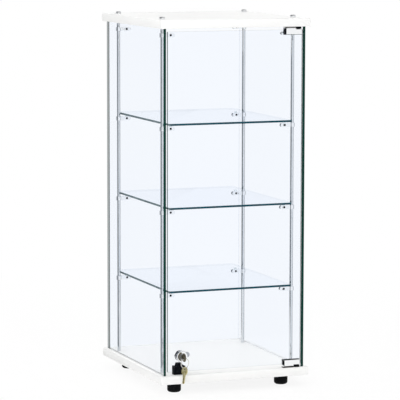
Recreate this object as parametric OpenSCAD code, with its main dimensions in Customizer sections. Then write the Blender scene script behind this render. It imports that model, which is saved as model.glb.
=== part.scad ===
// Countertop display cabinet: a frameless glass box between two white boards.
// Four rods tie the boards together and carry three glass shelves on clamp clips.
// A glass door turns on two pivots at the right and has a cam lock at the lower left.
// Origin: middle of the whole plan box, on the surface that the feet stand on.
// +X runs to the right, +Y to the back, +Z up, all in millimetres.

/* [Glass box] */
// Outside width across the two side panels
glass_w = 368; // [330:2:480]
// Outside depth of the side panels
glass_d = 415; // [360:5:480]
// Clear height between the two boards
clear_h = 842; // [780:2:1000]
// Thickness of every glass panel
glass_t = 5; // [4:0.5:6]
// Thickness of the base and top boards
board_t = 20; // [18:1:30]
// How far the boards stand out beyond the glass on every side
overhang = 10; // [6:1:30]
// Radius of the boards' upright corners
board_corner_r = 2; // [1:0.5:5]
// Depth of the grooves that hold the fixed panels
groove_depth = 5; // [3:0.5:7]
// Clearance on each side of a panel in its groove
groove_fit = 0.25; // [0.1:0.05:0.5]

/* [Posts] */
// Diameter of the rods
post_d = 8; // [7:0.5:10]
// From a side panel's outer face to the rod's axis
post_side = 13; // [12:0.5:20]
// From the front of the glass box to the front rods' axes
post_front = 48; // [42:1:80]
// From the back of the glass box to the rear rods' axes
post_rear = 52; // [30:1:80]
// Diameter of the threaded stud and of the screws under the base
stud_d = 5; // [4:0.5:6]
// Length of the base screws inside the rods
base_screw_grip = 12; // [8:1:20]
// Depth of the recess for a base screw's head
base_screw_recess = 6; // [5:0.5:8]
// Diameter of a cap nut on the top board
cap_nut_d = 13; // [11:0.5:16]
// Height of a cap nut
cap_nut_h = 6; // [5:0.5:8]

/* [Shelves] */
// Thickness of the shelves
shelf_t = 5; // [4:0.5:8]
// From a side panel's outer face to the shelf's edge
shelf_side = 22.5; // [22:0.5:32]
// From the front of the glass box to the shelf's front edge
shelf_front = 22; // [20:1:38]
// From the back of the glass box to the shelf's rear edge
shelf_rear = 8; // [8:1:30]
// Radius of a shelf's corners
shelf_corner_r = 6; // [2:1:15]
// Height of the lower shelf's top over the base board
lower_shelf_z = 203.5; // [180:0.5:230]
// Height of the middle shelf's top over the base board
middle_shelf_z = 407.5; // [380:0.5:430]
// Height of the upper shelf's top over the base board
upper_shelf_z = 611.5; // [580:0.5:640]

/* [Shelf clips] */
// From the rod's axis to the tip of a clip's arm
clip_reach = 32; // [31:0.5:40]
// Height of a clip
clip_h = 10; // [8:0.5:12]
// Thickness of a clip's arm from front to back
clip_t = 7; // [6:0.5:10]
// Wall of the clip round the rod
clip_wall = 2; // [1.5:0.25:3]
// Width of the slit that lets the clip close on the rod
clip_slit = 1.2; // [0.8:0.1:2]
// From the rod's axis to the clamp screw
clip_screw_at = 21; // [16:0.5:22]
// Diameter of the clamp screw
clip_screw_d = 3; // [2.5:0.5:4]
// From the rod's axis to the clear pad that the shelf rests on
pad_at = 21.5; // [18:0.5:22]
// Diameter of a pad
pad_d = 7; // [4:0.5:7]
// Height of a pad
pad_h = 4; // [1:0.5:6]
// Height of the four spare clips' tops, under the top board
top_clip_gap = 13.2; // [8:0.2:60]

/* [Feet] */
// Diameter of a foot
foot_d = 34; // [28:1:44]
// Height of a foot
foot_h = 28; // [22:1:36]
// From a board's edge to the foot's axis
foot_inset = 52; // [49:1:80]
// Radius of the foot's lower edge
foot_edge_r = 6; // [2:0.5:6]
// Diameter of the screw in a foot
foot_screw_d = 4.8; // [4:0.2:6]

/* [Door] */
// Gap between the left panel and the door
door_left_gap = 4.5; // [2:0.5:6]
// Gap between the door and the right panel
door_right_gap = 2.5; // [2.5:0.5:8]
// From the door's right edge to the pivot axis
pivot_inset = 10.5; // [9:0.25:11]
// Length of a hinge clamp along the door
hinge_len = 45; // [36:1:60]
// Height of a hinge clamp
hinge_h = 17.5; // [15:0.5:24]
// From the door's right edge to the clamp's end
hinge_edge = 2; // [1:0.5:3]
// Thickness of the clamp's front jaw
hinge_front_t = 3; // [2:0.5:4]
// Thickness of the clamp's rear jaw, which takes the set screws
hinge_rear_t = 4; // [3:0.5:6]
// Thickness of the clamp's web, across the edge of the glass
hinge_web = 4.5; // [4:0.25:6]
// Depth of the recess in the web that clears the bush's flange
hinge_relief = 3; // [1:0.25:3]
// Gap between a clamp and the board next to it
hinge_gap = 2.6; // [2.2:0.1:5]
// Thickness of the soft liner on the faces of the glass
liner_t = 1; // [0.5:0.25:2]
// Thickness of the lower liner under the edge of the glass, which carries the door
seat_t = 1.8; // [1:0.1:3]
// Thickness of the upper liner over the edge of the glass
upper_seat_t = 0.6; // [0.4:0.1:3]
// Diameter of a set screw
set_screw_d = 5; // [4:0.5:6]
// Diameter of the pivot pins
pin_d = 5; // [4:0.5:6]
// Length of a pivot pin inside the board
pin_reach = 7; // [5:0.5:9]
// Diameter of the bush's flange
bush_flange_d = 15.5; // [12:0.5:16]
// Diameter of the bush in the board
bush_d = 11; // [9:0.5:11.5]
// Wall of the bush under the end of the pin
bush_floor = 2; // [1:0.25:3]

/* [Lock] */
// From the left panel's outer face to the lock's axis
lock_x = 43.5; // [38:0.5:70]
// Height of the lock's axis over the base board
lock_z = 47; // [46:0.5:60]
// Diameter of the round head in front of the glass
lock_head_d = 28; // [24:0.5:32]
// How far the head stands in front of the glass
lock_proud = 10; // [8:0.5:14]
// Diameter of the threaded barrel
barrel_d = 18; // [16:0.5:20]
// Thickness of the gasket and of the washer against the glass
lock_washer_t = 1; // [0.5:0.25:2]
// Thickness of the nut
lock_nut_t = 4; // [3:0.5:6]
// Width of the nut across its flats
lock_nut_af = 23; // [22:0.5:26]
// Barrel length behind the nut
barrel_tail = 2.5; // [1.5:0.5:5]
// Diameter of the turning plug
plug_d = 12; // [11:0.5:13]
// Diameter of the plug's face
plug_face_d = 16; // [14:0.5:17]
// Thickness of the plug's face
plug_face_t = 1.5; // [1:0.25:2]
// Depth of the plug's face behind the front of the head
plug_recess = 0.5; // [0.25:0.25:1]
// From the lock's axis to the cam's tip
cam_reach = 28; // [25:0.5:32]
// Width of the cam
cam_w = 13; // [11:0.5:14]
// Thickness of the cam
cam_t = 2.5; // [2:0.25:3]
// Side of the plug's square end
cam_square = 7; // [6:0.5:7.5]
// Number of wafers in the plug
wafer_count = 4; // [2:1:4]

/* [Keeper] */
// Width of the keeper block
keeper_w = 29; // [28:0.5:40]
// Depth of the keeper block from front to back
keeper_d = 15; // [13:0.5:20]
// Height of the keeper block without its neck
keeper_h = 21; // [20:0.5:24]
// Width of the neck where it meets the block
neck_w = 15; // [14:0.5:20]
// Width of the neck at its top
neck_top_w = 12; // [10:0.5:14]
// Height of the neck
neck_h = 7; // [5:0.5:8]
// Gap between the cam's faces and the walls of the slot
slot_side = 1.15; // [0.8:0.05:1.5]
// Gap between the cam's tip and the floor of the slot
slot_floor = 0.8; // [0.5:0.1:2]

/* [Keys] */
// Thickness of a key
key_t = 2; // [1.6:0.1:2.4]
// Height of the blade
key_blade_h = 7; // [6:0.25:8]
// Length of the blade inside the plug
key_blade_len = 18; // [14:0.5:18.5]
// Length of the collar between the blade and the bow
key_collar = 3.5; // [2:0.5:6]
// Diameter of the bow
key_bow_d = 20.5; // [17:0.5:24]
// Diameter of the hole in the bow
key_hole_d = 5; // [4.4:0.1:6]
// From the end of the bow to the middle of the hole
key_hole_edge = 5; // [4:0.25:6]
// Radius of the ring, to the middle of its wire
ring_r = 12; // [11:0.5:16]
// Diameter of the ring's wire
ring_wire_d = 1.8; // [1.4:0.1:2.2]
// Turn of the ring and the spare key about the upright
ring_twist = 20; // [0:1:25]
// Lean of the spare key to the left
spare_lean = 8; // [0:1:12]

/* [Fits] */
// Radial clearance of a screw or stud in its thread or press seat
thread_fit = 0.05; // [0.02:0.01:0.1]
// Radial clearance of a part that turns or slides on another
running_fit = 0.06; // [0.03:0.01:0.1]
// Radial clearance of a screw that passes through a plain hole
through_fit = 0.3; // [0.2:0.1:0.6]
// Gap between faces that pass or hang on each other
face_gap = 0.3; // [0.2:0.05:0.5]

/* [Hidden] */
$fn = 64;

// Overshoot of every cut past the face that it opens
cut = 1;
floor_z = foot_h + board_t;

// Posts: front left, front right, rear left, rear right, each with its inward side
posts = [
    [post_side, post_front, 1],
    [glass_w - post_side, post_front, -1],
    [post_side, glass_d - post_rear, 1],
    [glass_w - post_side, glass_d - post_rear, -1]
];
// Length of the stud inside a cap nut, and height of the nut's domed part
cap_nut_thread = 3.6;
cap_nut_crown = 3.3;
stud_top = board_t + cap_nut_thread;
base_screw_head_d = 9;
base_screw_head_h = 3.5;
base_screw_hex_d = 4.5;
base_screw_hex_depth = 1.8;

// Clip screw, with its head sunk in the front of the arm
clip_head_d = 5.4;
clip_head_h = 1.5;
clip_hex_d = 2.8;
clip_hex_depth = 1;
function clip_top(z) = z - shelf_t - pad_h;

// Feet
foot_at = foot_inset - overhang;
feet = [
    [foot_at, foot_at],
    [glass_w - foot_at, foot_at],
    [foot_at, glass_d - foot_at],
    [glass_w - foot_at, glass_d - foot_at]
];
foot_pocket_d = 14.4;
foot_pocket_h = 14;
foot_washer_t = 1.2;
foot_head_d = 9;
foot_head_h = 2.9;
foot_thread = 12;
foot_slot_w = 1;
foot_slot_depth = 1.7;

// Door: the glass is flush with the front edges of the side panels
door_left = glass_t + door_left_gap;
door_right = glass_w - glass_t - door_right_gap;
door_bottom = hinge_gap + hinge_web + seat_t;
door_top = clear_h - hinge_gap - hinge_web - upper_seat_t;
pivot_x = door_right - pivot_inset;
pivot_y = glass_t / 2;
hinge_right = door_right - hinge_edge;
hinge_front_y = -liner_t - hinge_front_t;
hinge_rear_y = glass_t + liner_t + hinge_rear_t;
bush_flange_h = hinge_gap + hinge_relief - face_gap;
bush_depth = pin_reach + bush_floor;

// Set screws, seen from the pivot: two on the clamp's rear jaw, a little proud of it
set_screw_inset = 11.5;
set_screw_up = 11;
set_screw_proud = 0.5;
set_screw_hex_d = 2.8;
set_screw_hex_depth = 2.2;
hinge_screw_x = [
    hinge_right - pivot_x - hinge_len + set_screw_inset,
    hinge_right - pivot_x - set_screw_inset
];
hinge_screw_z = hinge_gap + set_screw_up;

// Lock, along the door's thickness
lock_face_y = -lock_proud;
nut_y = glass_t + lock_washer_t;
barrel_end_y = nut_y + lock_nut_t + barrel_tail;
plug_face_y = lock_face_y + plug_recess;
cam_y = barrel_end_y + face_gap;
plug_bore_d = plug_d + 2 * running_fit;
lock_edge = 1.5;
lock_dish_w = 2.5;
gasket_inset = 0.5;
door_hole_gap = 0.5;
square_short = 0.1;
cam_screw_d = 4;
cam_screw_grip = 5;
cam_screw_head_d = 8.4;
cam_screw_head_h = 2.4;
cam_slot_w = 1;
cam_slot_depth = 1.2;

// Wafers: their bays share the plug's length between a lead and a tail
wafer_t = 0.9;
wafer_w = 5.4;
wafer_h = 9.6;
wafer_fit = 0.1;
wafer_lead = 1;
wafer_tail = 2.5;
wafer_pitch = (key_blade_len - plug_face_t - wafer_lead - wafer_tail) / wafer_count;
function wafer_at(i) = plug_face_t + wafer_lead + (i + 0.5) * wafer_pitch;

// Keeper, under the cam's path
keeper_set_back = 0.5;
keeper_mid_y = cam_y + cam_t / 2 + keeper_set_back;
keeper_screw_d = 3;
keeper_screw_edge = 4.2;
keeper_screw_at = keeper_w / 2 - keeper_screw_edge;
keeper_head_d = 5.6;
keeper_head_h = 2;
keeper_sink = 3;
keeper_grip = 10;
keeper_slot_w = 0.8;

// Keys: the shoulder of the key in the lock rests just off the plug's face
key_y = plug_face_y - face_gap / 2;
bow_overlap = 0.5;
key_bow_at = key_collar + key_bow_d / 2 - bow_overlap;
key_hole_at = key_bow_at + key_bow_d / 2 - key_hole_edge;
key_fit = 0.15;
key_tip = 2.5;
key_step = 0.6;
key_notch_r = 0.7;
key_notch_step = 0.35;
ring_lift = 0.2;
ring_drop = (key_hole_d - ring_wire_d) / 2 - ring_lift;
ring_y = key_y - key_hole_at;
ring_top_z = lock_z - ring_drop;
ring_bottom_z = ring_top_z - 2 * ring_r;

// The spare key reaches furthest to the front, the boards to the back
front_reach = -ring_y + key_bow_d / 2;
front_y = (front_reach - glass_d - overhang) / 2;

// Puts a piece drawn from the box's lower front left glass corner into the part's frame
module in_box() {
    translate([-glass_w / 2, front_y, floor_z]) children();
}

// Turns a piece that points to the right into one that points left for a right-hand post
module facing(side) {
    if (side > 0) children();
    else mirror([1, 0, 0]) children();
}

// A flat plate with round upright corners, its lower front left corner at the origin
module round_plate(w, d, h, r) {
    translate([r, 0, 0]) cube([w - 2 * r, d, h]);
    translate([0, r, 0]) cube([w, d - 2 * r, h]);
    for (x = [r, w - r], y = [r, d - r])
        translate([x, y, 0]) cylinder(r = r, h = h);
}

// A bar along the Y axis from y0 to y1
module bar_y(d, y0, y1) {
    translate([0, y1, 0]) rotate([90, 0, 0]) cylinder(d = d, h = y1 - y0);
}

module board_blank() {
    w = glass_w + 2 * overhang;
    d = glass_d + 2 * overhang;
    translate([-overhang, -overhang, 0]) round_plate(w, d, board_t, board_corner_r);
}

// The grooves for both side panels and the back panel, h deep from z
module panel_grooves(z, h) {
    slot = glass_t + 2 * groove_fit;
    long = glass_d + 2 * groove_fit;
    for (x = [0, glass_w - glass_t])
        translate([x - groove_fit, -groove_fit, z]) cube([slot, long, h]);
    translate([0, glass_d - glass_t - groove_fit, z]) cube([glass_w, slot, h]);
}

module base_board() {
    seat_d = base_screw_head_d + 2 * through_fit;
    color("white") in_box() difference() {
        translate([0, 0, -board_t]) board_blank();
        panel_grooves(-groove_depth, groove_depth + cut);
        for (p = posts) translate([p[0], p[1], -board_t - cut]) {
            cylinder(d = stud_d + 2 * through_fit, h = board_t + 2 * cut);
            cylinder(d = seat_d, h = base_screw_recess + cut);
        }
        for (p = feet) translate([p[0], p[1], -board_t - cut])
            cylinder(d = foot_screw_d + 2 * thread_fit, h = foot_thread + 2 * cut);
        translate([pivot_x, pivot_y, -bush_depth - face_gap])
            cylinder(d = bush_d + 2 * thread_fit, h = bush_depth + face_gap + cut);
        for (side = [-1, 1]) translate([lock_x + side * keeper_screw_at, keeper_mid_y, -keeper_grip - cut])
            cylinder(d = keeper_screw_d + 2 * thread_fit, h = keeper_grip + 2 * cut);
    }
}

module top_board() {
    color("white") in_box() translate([0, 0, clear_h]) difference() {
        board_blank();
        panel_grooves(-cut, groove_depth + cut);
        for (p = posts) translate([p[0], p[1], -cut])
            cylinder(d = stud_d + 2 * through_fit, h = board_t + 2 * cut);
        translate([pivot_x, pivot_y, -cut])
            cylinder(d = bush_d + 2 * thread_fit, h = bush_depth + face_gap + cut);
    }
}

// A side panel: its front edge is the dark green line at each front corner
module side_glass(x) {
    color("lightcyan") in_box() translate([x, 0, -groove_depth])
        cube([glass_t, glass_d, clear_h + 2 * groove_depth]);
}

module back_glass() {
    color("lightcyan") in_box() translate([glass_t, glass_d - glass_t, -groove_depth])
        cube([glass_w - 2 * glass_t, glass_t, clear_h + 2 * groove_depth]);
}

// A rod with a tapped hole in its foot and a stud through the top board
module post(i) {
    color("silver") in_box() translate([posts[i][0], posts[i][1], 0]) difference() {
        union() {
            cylinder(d = post_d, h = clear_h);
            cylinder(d = stud_d, h = clear_h + stud_top);
        }
        translate([0, 0, -cut])
            cylinder(d = stud_d + 2 * thread_fit, h = base_screw_grip + 2 * cut);
    }
}

module cap_nuts() {
    ball_r = (pow(cap_nut_d / 2, 2) + pow(cap_nut_crown, 2)) / (2 * cap_nut_crown);
    color("silver") in_box() for (p = posts)
        translate([p[0], p[1], clear_h + board_t]) difference() {
            intersection() {
                cylinder(d = cap_nut_d, h = cap_nut_h);
                translate([0, 0, cap_nut_h - ball_r]) sphere(r = ball_r);
            }
            translate([0, 0, -cut])
                cylinder(d = stud_d + 2 * thread_fit, h = cap_nut_thread + face_gap + cut);
        }
}

module base_screws() {
    seat_z = -board_t + base_screw_recess;
    color("silver") in_box() for (p = posts) translate([p[0], p[1], seat_z]) difference() {
        union() {
            translate([0, 0, -base_screw_head_h])
                cylinder(d = base_screw_head_d, h = base_screw_head_h);
            cylinder(d = stud_d, h = base_screw_grip - seat_z);
        }
        translate([0, 0, -base_screw_head_h - cut])
            cylinder(d = base_screw_hex_d, h = base_screw_hex_depth + cut, $fn = 6);
    }
}

// A clip clamps the rod in a split eye and carries the shelf's pad on its arm
module clip() {
    mid_z = clip_h / 2;
    difference() {
        union() {
            cylinder(d = post_d + 2 * clip_wall, h = clip_h);
            translate([0, -clip_t / 2, 0]) cube([clip_reach - mid_z, clip_t, clip_h]);
            translate([clip_reach - mid_z, 0, mid_z]) bar_y(clip_h, -clip_t / 2, clip_t / 2);
        }
        translate([0, 0, -cut]) cylinder(d = post_d + 2 * running_fit, h = clip_h + 2 * cut);
        translate([0, -clip_slit / 2, -cut]) cube([clip_reach + cut, clip_slit, clip_h + 2 * cut]);
        translate([clip_screw_at, 0, mid_z]) {
            bar_y(clip_screw_d + 2 * thread_fit, -clip_t, clip_t);
            bar_y(clip_head_d + 2 * thread_fit, -clip_t, clip_head_h - clip_t / 2);
        }
    }
}

module clip_screw() {
    head_y = -clip_t / 2;
    translate([clip_screw_at, 0, clip_h / 2]) difference() {
        union() {
            bar_y(clip_head_d, head_y, head_y + clip_head_h);
            bar_y(clip_screw_d, head_y + clip_head_h, -head_y);
        }
        translate([0, head_y + clip_hex_depth, 0]) rotate([90, 0, 0])
            cylinder(d = clip_hex_d, h = clip_hex_depth + cut, $fn = 6);
    }
}

// Four of the child, one on each post, with the clips' tops at height z
module on_posts(z) {
    in_box() for (p = posts)
        translate([p[0], p[1], z - clip_h]) facing(p[2]) children();
}

module clips(z) {
    color("gainsboro") on_posts(z) clip();
}

module clip_screws(z) {
    color("dimgray") on_posts(z) clip_screw();
}

// Soft pads stuck on the clips' arms, under the shelf
module pads(z) {
    color("white") on_posts(clip_top(z)) translate([pad_at, 0, clip_h])
        cylinder(d = pad_d, h = pad_h);
}

module shelf(z) {
    w = glass_w - 2 * shelf_side;
    d = glass_d - shelf_front - shelf_rear;
    color("paleturquoise") in_box() translate([shelf_side, shelf_front, z - shelf_t])
        round_plate(w, d, shelf_t, shelf_corner_r);
}

// A rubber foot, hollow from below for its washer and screw
module foot(i) {
    r = foot_d / 2;
    color("black") in_box() translate([feet[i][0], feet[i][1], -floor_z]) difference() {
        rotate_extrude() {
            translate([0, foot_edge_r]) square([r, foot_h - foot_edge_r]);
            square([r - foot_edge_r, foot_h]);
            translate([r - foot_edge_r, foot_edge_r]) intersection() {
                circle(r = foot_edge_r);
                translate([0, -foot_edge_r]) square(foot_edge_r);
            }
        }
        translate([0, 0, -cut]) cylinder(d = foot_pocket_d, h = foot_pocket_h + cut);
        cylinder(d = foot_screw_d + 2 * through_fit, h = foot_h + cut);
    }
}

module foot_washers() {
    color("silver") in_box() for (p = feet)
        translate([p[0], p[1], foot_pocket_h - foot_washer_t - floor_z]) difference() {
            cylinder(d = foot_pocket_d - 2 * through_fit, h = foot_washer_t);
            translate([0, 0, -cut])
                cylinder(d = foot_screw_d + 2 * through_fit, h = foot_washer_t + 2 * cut);
        }
}

module foot_screws() {
    seat_z = foot_pocket_h - foot_washer_t;
    color("silver") in_box() for (p = feet)
        translate([p[0], p[1], seat_z - floor_z]) difference() {
            union() {
                translate([0, 0, -foot_head_h])
                    cylinder(d = foot_head_d, h = foot_head_h);
                cylinder(d = foot_screw_d, h = foot_h - seat_z + foot_thread);
            }
            for (turn = [0, 90]) rotate([0, 0, turn])
                translate([-foot_screw_d / 2, -foot_slot_w / 2, -foot_head_h - cut])
                    cube([foot_screw_d, foot_slot_w, foot_slot_depth + cut]);
        }
}

// The bush stands on the base board with its bore up, as seen from the pivot's foot
module bush() {
    difference() {
        union() {
            cylinder(d = bush_flange_d, h = bush_flange_h);
            translate([0, 0, -bush_depth]) cylinder(d = bush_d, h = bush_depth);
        }
        translate([0, 0, -pin_reach - face_gap])
            cylinder(d = pin_d + 2 * running_fit, h = pin_reach + bush_flange_h + face_gap + cut);
    }
}

// Puts a lower door fitting in place, or turns it over for the top of the door
module at_hinge(upper) {
    in_box() {
        if (upper) translate([pivot_x, pivot_y, clear_h]) mirror([0, 0, 1]) children();
        else translate([pivot_x, pivot_y, 0]) children();
    }
}

module hinge_clamp() {
    right = hinge_right - pivot_x;
    left = right - hinge_len;
    front = hinge_front_y - pivot_y;
    rear = hinge_rear_y - pivot_y;
    relief_r = bush_flange_d / 2 + face_gap;
    difference() {
        translate([left, front, hinge_gap]) cube([hinge_len, rear - front, hinge_h]);
        translate([left - cut, front + hinge_front_t, hinge_gap + hinge_web])
            cube([hinge_len + 2 * cut, glass_t + 2 * liner_t, hinge_h]);
        translate([-relief_r, front - cut, hinge_gap - cut])
            cube([relief_r + right + cut, rear - front + 2 * cut, hinge_relief + cut]);
        cylinder(d = pin_d + 2 * thread_fit, h = hinge_gap + hinge_web + cut);
        for (x = hinge_screw_x) translate([x, 0, hinge_screw_z])
            bar_y(set_screw_d + 2 * thread_fit, pivot_y, rear + cut);
    }
}

// The soft liner bends round the edge of the glass inside the clamp
module hinge_liner(seat) {
    left = hinge_right - pivot_x - hinge_len;
    depth = glass_t + 2 * liner_t;
    floor = hinge_gap + hinge_web;
    difference() {
        translate([left, -depth / 2, floor]) cube([hinge_len, depth, hinge_h - hinge_web]);
        translate([left - cut, -pivot_y, floor + seat])
            cube([hinge_len + 2 * cut, glass_t, hinge_h]);
    }
}

module set_screws() {
    start = pivot_y + liner_t;
    length = hinge_rear_t + set_screw_proud;
    for (x = hinge_screw_x) translate([x, 0, hinge_screw_z]) difference() {
        bar_y(set_screw_d, start, start + length);
        translate([0, start + length + cut, 0]) rotate([90, 0, 0])
            cylinder(d = set_screw_hex_d, h = set_screw_hex_depth + cut, $fn = 6);
    }
}

module pivot_pin() {
    translate([0, 0, -pin_reach])
        cylinder(d = pin_d, h = pin_reach + hinge_gap + hinge_web);
}

module door_glass() {
    hole_d = barrel_d + 2 * door_hole_gap;
    color("lightcyan") in_box() difference() {
        translate([door_left, 0, door_bottom])
            cube([door_right - door_left, glass_t, door_top - door_bottom]);
        translate([lock_x, 0, lock_z]) bar_y(hole_d, -cut, glass_t + cut);
    }
}

// Puts a lock piece on the lock's axis, with y still measured from the door's front
module at_lock() {
    in_box() translate([lock_x, 0, lock_z]) children();
}

module lock_housing() {
    seat_d = plug_face_d + 2 * running_fit;
    dish_h = plug_recess + cut;
    back = -lock_washer_t;
    color("silver") at_lock() difference() {
        union() {
            bar_y(lock_head_d, lock_face_y + lock_edge, back);
            translate([0, lock_face_y + lock_edge, 0]) rotate([90, 0, 0])
                cylinder(d1 = lock_head_d, d2 = lock_head_d - 2 * lock_edge, h = lock_edge);
            bar_y(barrel_d, back, barrel_end_y);
        }
        bar_y(plug_bore_d, lock_face_y - cut, barrel_end_y + cut);
        bar_y(seat_d, lock_face_y - cut, plug_face_y + plug_face_t + running_fit);
        translate([0, plug_face_y, 0]) rotate([90, 0, 0])
            cylinder(d1 = seat_d, d2 = seat_d + 2 * lock_dish_w * dish_h / plug_recess, h = dish_h);
    }
}

module lock_gasket() {
    color("black") at_lock() difference() {
        bar_y(lock_head_d - 2 * gasket_inset, -lock_washer_t, 0);
        bar_y(barrel_d + 2 * thread_fit, -lock_washer_t - cut, cut);
    }
}

module lock_washer() {
    color("black") at_lock() difference() {
        bar_y(lock_head_d - 2 * gasket_inset, glass_t, nut_y);
        bar_y(barrel_d + 2 * thread_fit, glass_t - cut, nut_y + cut);
    }
}

module lock_nut() {
    across_corners = lock_nut_af / cos(30);
    color("silver") at_lock() difference() {
        translate([0, nut_y + lock_nut_t, 0]) rotate([90, 0, 0])
            cylinder(d = across_corners, h = lock_nut_t, $fn = 6);
        bar_y(barrel_d + 2 * thread_fit, nut_y - cut, nut_y + lock_nut_t + cut);
    }
}

// The slot that the key's blade fills, from the plug's face inwards
module keyway(extra) {
    w = key_t + 2 * extra;
    h = key_blade_h + 2 * extra;
    translate([-w / 2, plug_face_y - cut, -h / 2])
        cube([w, key_blade_len + face_gap + cut, h]);
}

// Puts the child at each wafer's place along the plug
module at_wafers() {
    for (i = [0 : wafer_count - 1])
        translate([0, plug_face_y + wafer_at(i), 0]) children();
}

module lock_plug() {
    slot_w = wafer_w + 2 * wafer_fit;
    slot_h = wafer_h + 2 * wafer_fit;
    slot_t = wafer_t + 2 * wafer_fit;
    color("silver") at_lock() difference() {
        union() {
            bar_y(plug_face_d, plug_face_y, plug_face_y + plug_face_t);
            bar_y(plug_d, plug_face_y + plug_face_t, barrel_end_y);
            translate([-cam_square / 2, barrel_end_y - cut, -cam_square / 2])
                cube([cam_square, cut + face_gap + cam_t - square_short, cam_square]);
        }
        keyway(key_fit);
        at_wafers() translate([-slot_w / 2, -slot_t / 2, -slot_h / 2])
            cube([slot_w, slot_t, slot_h]);
        bar_y(cam_screw_d + 2 * thread_fit, cam_y + cam_t - cam_screw_grip - face_gap, cam_y + cam_t);
    }
}

module lock_wafers() {
    color("goldenrod") at_lock() difference() {
        at_wafers() translate([-wafer_w / 2, -wafer_t / 2, -wafer_h / 2])
            cube([wafer_w, wafer_t, wafer_h]);
        keyway(key_fit);
    }
}

// The cam points right when the door is free, and down into the keeper when it is locked
module lock_cam() {
    hole = cam_square + 2 * thread_fit;
    color("silver") at_lock() difference() {
        union() {
            bar_y(cam_w, cam_y, cam_y + cam_t);
            translate([0, cam_y, -cam_w / 2]) cube([cam_reach - cam_w / 2, cam_t, cam_w]);
            translate([cam_reach - cam_w / 2, 0, 0]) bar_y(cam_w, cam_y, cam_y + cam_t);
        }
        translate([-hole / 2, cam_y - cut, -hole / 2]) cube([hole, cam_t + 2 * cut, hole]);
    }
}

module cam_screw() {
    seat_y = cam_y + cam_t;
    color("silver") at_lock() difference() {
        union() {
            bar_y(cam_screw_head_d, seat_y, seat_y + cam_screw_head_h);
            bar_y(cam_screw_d, seat_y - cam_screw_grip, seat_y);
        }
        for (turn = [0, 90]) translate([0, seat_y + cam_screw_head_h - cam_slot_depth, 0])
            rotate([0, turn, 0]) translate([-cam_screw_d / 2, 0, -cam_slot_w / 2])
                cube([cam_screw_d, cam_slot_depth + cut, cam_slot_w]);
    }
}

// The keeper's two walls hold the cam between them when it has dropped into the slot
module keeper_block() {
    front_face = keeper_mid_y - keeper_d / 2;
    slot_y = cam_y - slot_side;
    color("black") in_box() difference() {
        translate([lock_x, front_face + keeper_d, 0]) rotate([90, 0, 0]) linear_extrude(keeper_d)
            polygon([
                [-keeper_w / 2, 0],
                [keeper_w / 2, 0],
                [keeper_w / 2, keeper_h],
                [neck_w / 2, keeper_h],
                [neck_top_w / 2, keeper_h + neck_h],
                [-neck_top_w / 2, keeper_h + neck_h],
                [-neck_w / 2, keeper_h],
                [-keeper_w / 2, keeper_h]
            ]);
        translate([lock_x - keeper_w / 2 - cut, slot_y, lock_z - cam_reach - slot_floor])
            cube([keeper_w + 2 * cut, cam_t + 2 * slot_side, keeper_h + neck_h]);
        for (side = [-1, 1]) translate([lock_x + side * keeper_screw_at, keeper_mid_y, -cut]) {
            cylinder(d = keeper_screw_d + 2 * through_fit, h = keeper_h + 2 * cut);
            translate([0, 0, keeper_h - keeper_head_h - keeper_sink + cut])
                cylinder(d = keeper_head_d + 2 * through_fit, h = keeper_h);
        }
    }
}

module keeper_screws() {
    seat_z = keeper_h - keeper_head_h - keeper_sink;
    color("dimgray") in_box() for (side = [-1, 1])
        translate([lock_x + side * keeper_screw_at, keeper_mid_y, seat_z]) difference() {
            union() {
                cylinder(d = keeper_head_d, h = keeper_head_h);
                translate([0, 0, -seat_z - keeper_grip])
                    cylinder(d = keeper_screw_d, h = seat_z + keeper_grip);
            }
            for (turn = [0, 90]) rotate([0, 0, turn])
                translate([-keeper_screw_d / 2, -keeper_slot_w / 2, keeper_head_h / 2])
                    cube([keeper_screw_d, keeper_slot_w, keeper_head_h]);
        }
}

// A flat key: blade along +Y from its shoulder, bow along -Y, standing on edge
module key_blank() {
    half = key_blade_h / 2;
    shoulder_h = key_blade_h + 2 * key_step;
    rotate([90, 0, 90]) linear_extrude(key_t, center = true) difference() {
        union() {
            translate([-key_bow_at, 0]) circle(d = key_bow_d);
            polygon([
                [-key_bow_at, -half],
                [key_blade_len - key_tip, -half],
                [key_blade_len, -half + key_tip],
                [key_blade_len, half - key_tip],
                [key_blade_len - key_tip, half],
                [-key_bow_at, half]
            ]);
            translate([-key_collar, -shoulder_h / 2]) square([key_collar, shoulder_h]);
        }
        translate([-key_hole_at, 0]) circle(d = key_hole_d);
        for (i = [0 : wafer_count - 1])
            translate([wafer_at(i), half])
                circle(r = key_notch_r + key_notch_step * (i % 2), $fn = 24);
    }
}

module key() {
    color("tan") at_lock() translate([0, key_y, 0]) key_blank();
}

// The ring hangs from the bottom of the hole in the key's bow
module key_ring() {
    color("silver") at_lock() translate([0, ring_y, -ring_drop - ring_r])
        rotate([0, 0, ring_twist]) rotate([90, 0, 0]) rotate_extrude()
            translate([ring_r, 0]) circle(d = ring_wire_d, $fn = 32);
}

// The spare key hangs by its hole from the bottom of the ring
module spare_key() {
    color("goldenrod") at_lock() translate([0, ring_y, -ring_drop - 2 * ring_r])
        rotate([0, 0, ring_twist]) rotate([0, spare_lean, 0])
            translate([0, 0, -ring_drop]) rotate([-90, 0, 0])
                translate([0, key_hole_at, 0]) key_blank();
}

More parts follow.
